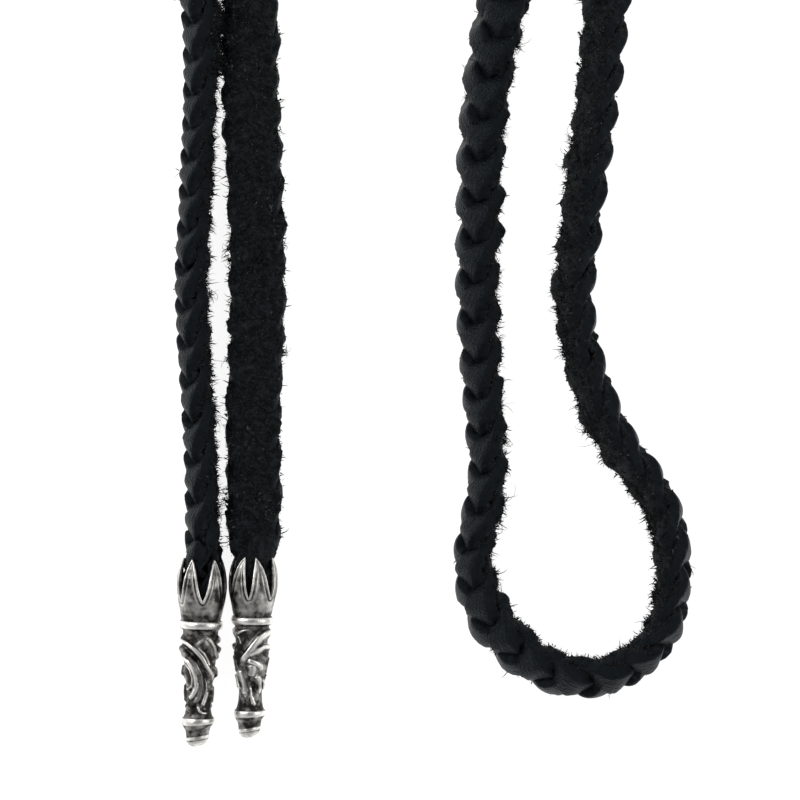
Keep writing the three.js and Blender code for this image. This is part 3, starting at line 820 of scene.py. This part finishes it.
def add_hairs(name, count, stations, length, radius, stand, curl, tufts, sides, material):
    """Curved hairs rooted in the skin."""
    piece, shape = joined_copies(name, hair_shape(stations), count)
    root, normal = nap_roots(count, tufts, sides=sides)
    flat = unit(np.cross(normal, rng.standard_normal((count, 3))))
    stand = rng.uniform(*stand, (count, 1))
    way = unit(normal * stand + flat * (1 - stand))
    bend_axis = unit(np.cross(way, rng.standard_normal((count, 3))))
    over = np.cross(way, bend_axis)
    bend = rng.uniform(*curl, (count, 1, 1))
    reach = (length * MM * np.exp(HAIR_LENGTHS * rng.standard_normal(count)))[:, None, None]
    t = shape[None, :, 2:3]
    angle = bend * t
    forward = np.sin(angle) / bend * reach
    sidewards = (1 - np.cos(angle)) / bend * reach
    thick = radius * MM * (1 - HAIR_TAPER * t) * np.exp(HAIR_RADII * rng.standard_normal((count, 1, 1)))
    frame_v = -way[:, None, :] * np.sin(angle) + over[:, None, :] * np.cos(angle)
    points = root[:, None, :] + way[:, None, :] * forward + over[:, None, :] * sidewards
    points = points + thick * (shape[None, :, 0:1] * bend_axis[:, None, :] + shape[None, :, 1:2] * frame_v)
    return finish_nap(piece, points, material)


NAP = flesh_leather("raised_suede_nap", "#080a0b", "#2a2e31")
# Painted glints: the flecks and the flat pale hairs take a light colour that stands in for suede fibres
# catching the light.
GLINT_FLECKS = flesh_leather("suede_fleck_painted_glints", "#1b1d1f", "#676b70")

CRUMBS = [
    # name, count, size, thickness on the cut edges against the flesh side, material
    ("suede_crumbs", 20000, 0.065, 0.2, NAP),
    ("suede_flecks", 6000, 0.075, 0.0, GLINT_FLECKS),
]
HAIRS = [
    # name, count, rings, length, radius, how far they stand up at the least and the most, their bend in
    # radians likewise, the number of tufts they gather in, how much thicker on the cord's sides, material
    ("suede_fibres", 14000, 2, 0.46, 0.032, (0.15, 0.95), (0.4, 2.6), 0, 4.0, NAP),
    ("suede_spikes", 6000, 2, 0.6, 0.075, (0.6, 1.0), (0.3, 1.2), 0, 7.0, NAP),
    ("suede_tufts", 4200, 4, 0.9, 0.04, (0.35, 1.0), (0.6, 4.0), 170, 3.0, NAP),
    ("stray_hairs", 150, 9, 0.95, 0.026, (0.5, 1.0), (0.4, 5.0), 0, 2.0, NAP),
    ("pale_hairs_painted_glints", 110, 9, 1.1, 0.022, (0.05, 0.3), (0.4, 2.0), 0, 0.0, GLINT_FLECKS),
]
nap = [add_crumbs(*row) for row in CRUMBS] + [add_hairs(*row) for row in HAIRS]

# ---- silver end tips ----

CLAWS = 6
CLAW_LENGTH = 5.0

# How much of its sixth of the crown a claw takes up.
CLAW_SHARE = [
    # s, share
    (0.0, 0.07), (0.5, 0.25), (1.3, 0.42), (2.3, 0.56), (3.4, 0.68), (4.3, 0.82), (5.0, 1.0),
]

# The turned outline of a tip below its crown, without its beads.
TURNING = [
    # s, radius
    (6.2, 2.1), (7.2, 2.3), (8.5, 2.3), (8.62, 2.14), (9.8, 2.04), (11.6, 1.94), (13.6, 1.82),
    (15.6, 1.5), (16.8, 1.42), (18.0, 1.48), (18.7, 1.62), (18.95, 1.72), (19.1, 1.8), (20.05, 1.8),
    (20.16, 1.74), (20.5, 1.5), (20.8, 1.44), (21.3, 1.36),
]

# Beads turned on that outline: middle, half length and height.
BEADS = [
    (7.92, 0.52, 0.36),
    (19.55, 0.46, 0.2),
]
BEAD_POLISHED = (0.45, 0.8)  # share of the way up
KNOB_SLANT = 0.24  # of the foot's turning, up towards the right
KNOB_START = 21.3
KNOB_RADIUS = 1.38
TIP_LENGTH = 22.65
DOME_FULLNESS = 2.6
SLANT_START = 18.6

# How polished the turned parts are. A black line runs round the knob.
TURNED_POLISH = [
    # from s, polish
    (0.0, 0.1),
    (20.2, 0.12),
    (KNOB_START + 0.02, 0.95),
    (KNOB_START + 0.38, 0.1),
    (KNOB_START + 0.55, 0.7),
]

# Rings of a tip below its crown: from, to and step.
SHAFT_RINGS = [
    (6.2, 7.3, 0.2),
    (7.32, 8.7, 0.05),
    (8.75, 18.9, 0.085),
    (18.95, KNOB_START, 0.06),
]
KNOB_RINGS = 18
SCROLLS_RISE = (8.75, 9.15)  # the scrolled stretch begins and ends softly
SCROLLS_FALL = (18.45, 18.8)

BLACKENED = 0.02  # polish of the ground between the scrolls
END_FADE = 0.14  # share of a crest's path over which it rises or falls
END_HEIGHT = 0.35  # of its full height
END_POLISH = 0.3
WORN_FROM = (0.48, 0.82)  # share of the way up a crest

# Radii that turn an angle round the shaft and one round the crown into a length.
SHAFT_ARC = 1.8
CROWN_ARC = 2.85

# Crests of the cast scrolls on the left tip and on the right one: how steeply a crest falls to its left and
# to its right, looking along it, its height over the ground, how polished it is, and its path as turns
# round the tip in degrees and distances along it. Each is made again on the tip's other side.
LEFT_SCROLLS = [
    # steep, gentle, height, polish, path
    (0.34, 0.62, 0.56, 1.0,
     [(-100, 9.4), (-66, 9.8), (-38, 10.05), (-10, 10.8), (12, 11.8), (29, 12.9), (48, 13.7), (66, 14.4)]),
    (0.25, 0.3, 0.4, 0.85, [(-6, 10.5), (16, 11.3), (31, 12.2), (38, 13.0)]),
    (0.3, 0.9, 0.6, 0.15,
     [(-110, 10.4), (-84, 10.75), (-58, 11.1), (-32, 11.7), (-10, 12.5), (8, 13.8), (14, 15.2),
      (6, 16.6), (-14, 17.4), (-38, 17.5)]),
    (0.42, 0.62, 0.6, 1.0,
     [(-86, 11.3), (-60, 11.8), (-33, 12.3), (-17, 13.1), (-8, 14.2), (-7, 15.3), (-17, 16.1), (-40, 16.7)]),
    (0.6, 0.5, 0.66, 1.0, [(-4, 14.5), (-8, 15.5), (-20, 16.3), (-38, 16.8)]),
    (0.25, 0.3, 0.34, 0.8,
     [(-70, 12.2), (-48, 12.7), (-30, 13.3), (-22, 14.3), (-26, 15.2), (-46, 15.7), (-66, 15.6)]),
    (0.9, 1.0, 0.4, 0.12, [(0, 9.6), (24, 10.4), (44, 11.4), (58, 12.4)]),
    (0.22, 0.5, 0.5, 0.95, [(22, 9.2), (38, 9.8), (50, 10.4), (58, 11.1), (66, 12.0)]),
    (0.16, 0.2, 0.24, 0.8, [(30, 9.2), (38, 9.5), (45, 9.9)]),
    (0.3, 0.45, 0.5, 0.9, [(62, 12.9), (76, 13.6), (90, 14.2)]),
    (0.14, 0.2, 0.3, 1.0, [(28, 14.5), (33, 15.3), (35, 15.9)]),
    (0.45, 0.5, 0.5, 1.0, [(37, 15.7), (32, 16.4), (24, 17.1), (16, 17.6)]),
    (0.7, 0.9, 0.5, 0.35, [(62, 15.2), (70, 16.2), (64, 17.4)]),
    (0.3, 0.5, 0.34, 0.1, [(-70, 17.6), (-44, 17.9), (-18, 18.1)]),
    (0.34, 0.3, 0.34, 1.0, [(-3, 17.5), (6, 18.2), (20, 18.45), (40, 18.5)]),
]
RIGHT_SCROLLS = [
    # steep, gentle, height, polish, path
    (1.2, 0.34, 0.54, 1.0,
     [(104, 9.0), (68, 9.2), (42, 9.4), (24, 9.9), (8, 10.7), (-3, 11.3), (-15, 11.9), (-28, 12.5),
      (-42, 13.2)]),
    (0.25, 0.25, 0.4, 0.8, [(60, 9.8), (36, 10.1), (20, 10.6), (8, 11.2)]),
    (0.9, 0.3, 0.5, 1.0, [(100, 11.3), (80, 11.1), (44, 11.0), (20, 11.5), (4, 11.8), (-18, 12.2)]),
    (1.1, 1.1, 0.56, 0.2, [(72, 12.2), (60, 12.9), (52, 13.9), (56, 14.8)]),
    (0.2, 0.5, 0.36, 0.9, [(-6, 8.9), (-24, 9.1), (-44, 9.5), (-66, 9.8)]),
    (0.12, 0.12, 0.26, 0.7, [(-52, 9.7), (-38, 10.5), (-32, 11.2)]),
    (0.5, 0.6, 0.46, 0.16, [(-34, 10.6), (-50, 11.2), (-62, 12.0), (-60, 13.2)]),
    (0.75, 0.6, 0.54, 1.0, [(-14, 12.75), (6, 13.0), (20, 13.2), (34, 13.5), (46, 14.2)]),
    (0.9, 0.9, 0.5, 0.7, [(4, 13.3), (8, 14.0), (2, 14.9)]),
    (0.8, 0.7, 0.6, 0.75, [(-44, 13.9), (-34, 14.8), (-24, 15.8), (-22, 17.3)]),
    (0.45, 0.5, 0.5, 0.9, [(-70, 14.5), (-60, 15.5), (-46, 16.5)]),
    (0.6, 0.7, 0.6, 0.8, [(20, 14.6), (36, 15.2), (40, 16.4), (32, 17.0)]),
    (0.5, 0.5, 0.5, 0.9, [(52, 15.2), (66, 15.7), (62, 16.6)]),
    (0.5, 0.5, 0.4, 0.12, [(-40, 17.3), (-26, 17.8), (-20, 18.4)]),
    (0.3, 0.3, 0.42, 1.0, [(2, 16.0), (5, 16.9), (8, 17.7), (12, 18.4)]),
    (0.5, 0.5, 0.4, 0.9, [(6, 17.2), (14, 17.9), (22, 18.4)]),
]

# The tips. The middle of the claw points is at x in millimetres and y in metres on the lay-out plane. The
# axis drifts sideways by a share of its length. The claws are turned, and the points of the two front ones
# pinched together, in degrees. The shaded flank, whose silver is darkened as painted shade for the shadow
# and dark reflections that the two tips give each other, is 1, the right one, or -1, the left one.
TIPS = [
    # name, CAD node, x, y, drift, turn, pinch, shaded flank, size, scrolls
    ("cast_tip_left", "end_tip_left", -23.65, LEFT_TIP_START, -0.031, 5, -5, 1, 1.0, LEFT_SCROLLS),
    ("cast_tip_right", "end_tip_right", -17.56, RIGHT_TIP_START, -0.025, -8, 14, -1, RIGHT_TIP_SIZE,
     RIGHT_SCROLLS),
]
TIP_COLUMNS = 132
CLAW_COLUMNS = 22  # across the outside of a claw
CLAW_INNER_COLUMNS = 6
CLAW_ROWS = 56
CROWN_FOOT_ROWS = 22
CROWN_FOOT = (5.1, 7.5)  # the crown's closed wall below its notches
PAINTED_SHADE_FLANK = (0.62, 0.9)  # sines of the turns between which a flank takes its painted shade
# On the shaded flank the relief is flattened and the silver darkened as painted shade, by these shares.
FLANK_FLATTER = 0.6
FLANK_SHADE_DARKENING = 0.9

# Lines that run along a claw's edge.
CLAW_LINES = [
    # how far in, breadth, height, polish, and where along the tip it comes up
    (0.14, 0.13, 0.15, 0.65, (-0.2, -0.1)),  # lip
    (0.36, 0.1, -0.1, -0.45, (1.0, 3.0)),  # groove
    (0.58, 0.11, 0.05, 0.3, (1.4, 3.6)),  # second rim
]
LINES_FALL = (5.7, 6.3)
CLAW_POLISH = 0.35
HOLLOW_DEPTH = 0.13  # of a claw's middle
HOLLOW_DULLER = 0.25
HOLLOW_IN = (0.3, 1.0)
HOLLOW_RISE = (0.6, 2.0)
HOLLOW_FALL = (4.2, 5.6)
# Painted shade: the silver of the crown's narrowing foot, which reflects the dark, is darkened between these
# distances by this share.
SHADED_FOOT = (6.5, 6.9)
FOOT_SHADE_DARKENING = 0.85
INSIDE_POLISH = 0.05


def path_distance(path, across, along):
    """How far each spot is from a path on the unrolled metal, and on which side of it."""
    best = np.full(across.shape, 1e9)
    side = np.zeros(across.shape)
    spot = np.zeros(across.shape)
    for i, ((a0, s0), (a1, s1)) in enumerate(zip(path[:-1], path[1:])):
        u, v, du, dv = across - a0, along - s0, a1 - a0, s1 - s0
        share = np.clip((u * du + v * dv) / (du * du + dv * dv), 0, 1)
        away = np.hypot(u - share * du, v - share * dv)
        nearer = away < best
        best = np.where(nearer, away, best)
        side = np.where(nearer, u * dv - v * du, side)
        spot = np.where(nearer, (i + share) / (len(path) - 1), spot)
    return best, side, spot


def scroll_relief(scrolls, turn, s):
    """Height and polish of the cast scrolls at turns in degrees and distances along a tip."""
    height = np.zeros(turn.shape)
    polish_and_shade = np.full(turn.shape, BLACKENED)
    for steep, gentle, tall, shine, path in scrolls:
        points = [(math.radians(a) * SHAFT_ARC, z) for a, z in path]
        for flip in (0, 180):
            wrapped = (turn + flip + 180) % 360 - 180
            away, side, spot = path_distance(points, np.radians(wrapped) * SHAFT_ARC, s)
            reach = np.where(side > 0, steep, gentle)
            fade = soft_step(0, END_FADE, spot) * soft_step(0, END_FADE, 1 - spot)
            share = np.clip(1 - away / reach, 0, 1)
            crest = tall * (END_HEIGHT + (1 - END_HEIGHT) * fade) * np.sin(share * np.pi / 2) ** 0.9
            wear_and_shade = shine * soft_step(*WORN_FROM, share) * (END_POLISH + (1 - END_POLISH) * fade)
            polish_and_shade = np.where(crest > height, np.maximum(wear_and_shade, BLACKENED), polish_and_shade)
            height = np.maximum(height, crest)
    return height, polish_and_shade


def column_of(table, number, s):
    """A column of a table whose first column is the distance along, read at s."""
    rows = np.array(table)
    return np.interp(s, rows[:, 0], rows[:, number])


def shaft_points(scrolls):
    """Everything below a tip's crown in its own frame, with how polished each point is."""
    knob_length = TIP_LENGTH - KNOB_START
    knob = KNOB_START + knob_length * np.sin(np.linspace(0, np.pi / 2, KNOB_RINGS)[1:])
    stops = np.concatenate([*(np.arange(*span) for span in SHAFT_RINGS), knob])
    base = column_of(TURNING, 1, stops)
    polished = np.array(TURNED_POLISH)
    shine = polished[np.searchsorted(polished[:, 0], stops) - 1, 1]
    for middle, half, tall in BEADS:
        swell = np.sqrt(np.clip(1 - ((stops - middle) / half) ** 2, 0, 1))
        base = base + tall * swell
        shine = np.maximum(shine, soft_step(*BEAD_POLISHED, swell))
    depth = np.clip((stops - KNOB_START) / knob_length, 0, 1)
    dome = KNOB_RADIUS * np.clip(1 - depth**DOME_FULLNESS, 0, 1) ** 0.5
    base = np.where(stops > KNOB_START, dome, base)
    turn = np.linspace(-180, 180, TIP_COLUMNS + 1)[None, :] + 0 * stops[:, None]
    along = stops[:, None] + 0 * turn
    height, polish_and_shade = scroll_relief(scrolls, turn, along)
    body = between(SCROLLS_RISE, SCROLLS_FALL, along)
    radius = base[:, None] + height * body
    polish_and_shade = np.where(body > 0.4, polish_and_shade, shine[:, None])
    angle = np.radians(turn)
    slant = KNOB_SLANT * soft_step(SLANT_START, KNOB_START, along)
    slanted = along - slant * np.sin(angle) * radius / KNOB_RADIUS
    points = np.stack([radius * np.sin(angle), radius * np.cos(angle), slanted], axis=-1)
    points[:, -1] = points[:, 0]
    return points, polish_and_shade


def claw_points(number, turn, pinch, shaded_flank):
    """One claw with its share of the crown wall, as closed rings from its point down to the ring bead. The
    points of the two front claws lean together by pinch, and the crown's silver is darkened as painted shade
    on its shaded flank."""
    claw_rows = np.linspace(0.0, CLAW_LENGTH, CLAW_ROWS)
    s = np.concatenate([claw_rows, np.linspace(*CROWN_FOOT, CROWN_FOOT_ROWS)])
    broader = 0.7 if number in (1, 4) else 1.0  # the two claws at the sides are broader
    share = np.where(s < CLAW_LENGTH, column_of(CLAW_SHARE, 1, s), 1.0) ** broader
    outer_u = np.linspace(-1, 1, CLAW_COLUMNS)
    inner_u = np.linspace(1, -1, CLAW_INNER_COLUMNS)
    sixth = np.pi / CLAWS
    middle = math.radians(turn) + (2 * number + 1) * sixth
    towards_notch = {0: -1, 2: 1, 3: -1, 5: 1}.get(number, 0) * math.radians(pinch)
    middle = middle + towards_notch * (1 - share[:, None]) ** 1.5
    radius = column_of(CROWN, 1, s)[:, None]
    wall = column_of(CROWN, 2, s)[:, None]
    u = outer_u[None, :] * share[:, None]
    along = s[:, None] + 0 * u
    notch = [(sixth * (1 - part**broader) * CROWN_ARC, at) for at, part in CLAW_SHARE]
    edge, _, _ = path_distance(notch, sixth * (1 - np.abs(u)) * CROWN_ARC, along)
    hollow = soft_step(*HOLLOW_IN, edge) * between(HOLLOW_RISE, HOLLOW_FALL, along)
    relief = -HOLLOW_DEPTH * hollow
    polish_and_shade = CLAW_POLISH - HOLLOW_DULLER * hollow
    for far_in, breadth, height, shine, rise in CLAW_LINES:
        line = np.exp(-(((edge - far_in) / breadth) ** 2)) * between(rise, LINES_FALL, along)
        relief = relief + height * line
        polish_and_shade = polish_and_shade + shine * line
    # Painted shade darkens the crown's narrowing foot.
    polish_and_shade = polish_and_shade * (1 - FOOT_SHADE_DARKENING * soft_step(*SHADED_FOOT, along))
    outer_angle = middle + u * sixth
    # Painted shade: the flank that faces the other tip is darkened, and its relief flattened.
    flank = soft_step(*PAINTED_SHADE_FLANK, shaded_flank * np.sin(outer_angle))
    outer = radius + relief * (1 - FLANK_FLATTER * flank)
    polish_and_shade = polish_and_shade * (1 - FLANK_SHADE_DARKENING * flank)
    inner_angle = middle + inner_u[None, :] * share[:, None] * sixth
    inner = radius - wall + 0 * inner_angle
    angle = np.concatenate([outer_angle, inner_angle, outer_angle[:, :1]], axis=1)
    reach = np.concatenate([outer, inner, outer[:, :1]], axis=1)
    shine = np.concatenate([polish_and_shade, np.full(inner.shape, INSIDE_POLISH), polish_and_shade[:, :1]], axis=1)
    z = s[:, None] + 0 * angle
    return np.stack([reach * np.sin(angle), reach * np.cos(angle), z], axis=-1), np.clip(shine, 0, 1)


def store_polish_and_shade(mesh, values):
    """Keeps on each vertex how polished the silver is there, and how far painted shade darkens it on the
    crowns' shaded flanks and feet.
    """
    layer = mesh.attributes.new("polish_and_shade", "FLOAT", "POINT")
    layer.data.foreach_set("value", values.astype(np.float32).ravel())


def crown_of(name, turn, pinch, shaded_flank):
    """The six claws joined into one wall below their notches."""
    bm = bmesh.new()
    first_side = CLAW_COLUMNS - 1
    last_side = CLAW_COLUMNS + CLAW_INNER_COLUMNS - 1
    for number in range(CLAWS):
        points, shine = claw_points(number, turn, pinch, shaded_flank)
        mesh, row, column = bent_grid(name, points)
        store_polish_and_shade(mesh, shine[row, column])
        claw = bmesh.new()
        claw.from_mesh(mesh)
        claw.verts.ensure_lookup_table()
        inner_walls = []
        for face in claw.faces:
            rows = [row[v.index] for v in face.verts]
            columns = [column[v.index] for v in face.verts]
            at_side = min(columns) in (first_side, last_side)
            if at_side and min(rows) >= CLAW_ROWS - 1:
                inner_walls.append(face)
        bmesh.ops.delete(claw, geom=inner_walls, context="FACES_ONLY")
        claw.to_mesh(mesh)
        claw.free()
        bm.from_mesh(mesh)
        bpy.data.meshes.remove(mesh)
    bmesh.ops.remove_doubles(bm, verts=bm.verts, dist=1e-4)
    rim = [edge for edge in bm.edges if edge.is_boundary]
    foot = [edge for edge in rim if edge.verts[0].co.z > CLAW_LENGTH]
    tips = [edge for edge in rim if edge.verts[0].co.z < CLAW_LENGTH]
    bmesh.ops.bridge_loops(bm, edges=foot)
    bmesh.ops.holes_fill(bm, edges=tips, sides=0)
    bmesh.ops.recalc_face_normals(bm, faces=bm.faces)
    return bm


def add_tip(name, node, x, y, drift, turn, pinch, shaded_flank, size, scrolls, material):
    """One end tip in its place, for its CAD node."""
    points, shine = shaft_points(scrolls)
    shaft, row, column = bent_grid(name, points)
    store_polish_and_shade(shaft, shine[row, column])
    weld_tube(shaft, 1e-4)
    bm = crown_of(name, turn, pinch, shaded_flank)
    bm.from_mesh(shaft)
    bpy.data.meshes.remove(shaft)
    mesh = new_mesh(name, bm)
    axis = unit(np.array([drift, -1.0, 0.0])) * math.cos(TIP_TILT)
    axis[2] = -math.sin(TIP_TILT)
    side = unit(np.array([-axis[1], axis[0], 0.0]))
    top = np.cross(axis, side)
    start = np.array([x * MM - LAYOUT_MIDDLE[0], y - LAYOUT_MIDDLE[1], tip_axis_height(size, 0)])
    move_points(mesh, start + mesh_points(mesh) * size * MM @ np.stack([side, top, axis]))
    mesh.polygons.foreach_set("use_smooth", np.ones(len(mesh.polygons), bool))
    mesh.materials.append(material)
    tip = new_object(name, mesh)
    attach(tip, "root")
    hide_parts(node)
    return tip


def oxidised_silver():
    """Cast sterling silver, blackened with sulphide and then polished by hand: bright crests and lips over
    dark, slightly rough recesses. Painted shade darkens the crowns' shaded flanks and feet as well."""
    material, tree = new_material("oxidised_cast_silver")
    # The silver's polish, darkened by painted shade on the crowns' shaded flanks and feet.
    polish_and_shade = add_node(tree, "Attribute", attribute_name="polish_and_shade").outputs["Fac"]
    place = coordinates(tree, "Object")
    fine = calculated(tree, "MULTIPLY_ADD", noise(tree, place, grain=0.7, detail=4.0), 0.9, -0.45)
    broad = calculated(tree, "MULTIPLY_ADD", noise(tree, place, grain=1.7, detail=2.0), 1.3, -0.65)
    wear_and_shade = calculated(tree, "ADD", polish_and_shade, calculated(tree, "ADD", fine, broad), clamped=True)
    rough = add_node(tree, "MapRange", {"Value": wear_and_shade, "To Min": 0.43, "To Max": 0.33})
    metal = {"Base Color": toned(tree, wear_and_shade, "#33312f", "#f3f1ec"), "Metallic": 1.0}
    pits = bumped(tree, noise(tree, place, grain=0.16, detail=3.0), strength=0.4, depth=0.07)
    surface(tree, {**metal, "Roughness": rough.outputs[0], "Normal": pits})
    return material


SILVER = oxidised_silver()
tips = [add_tip(*tip, SILVER) for tip in TIPS]
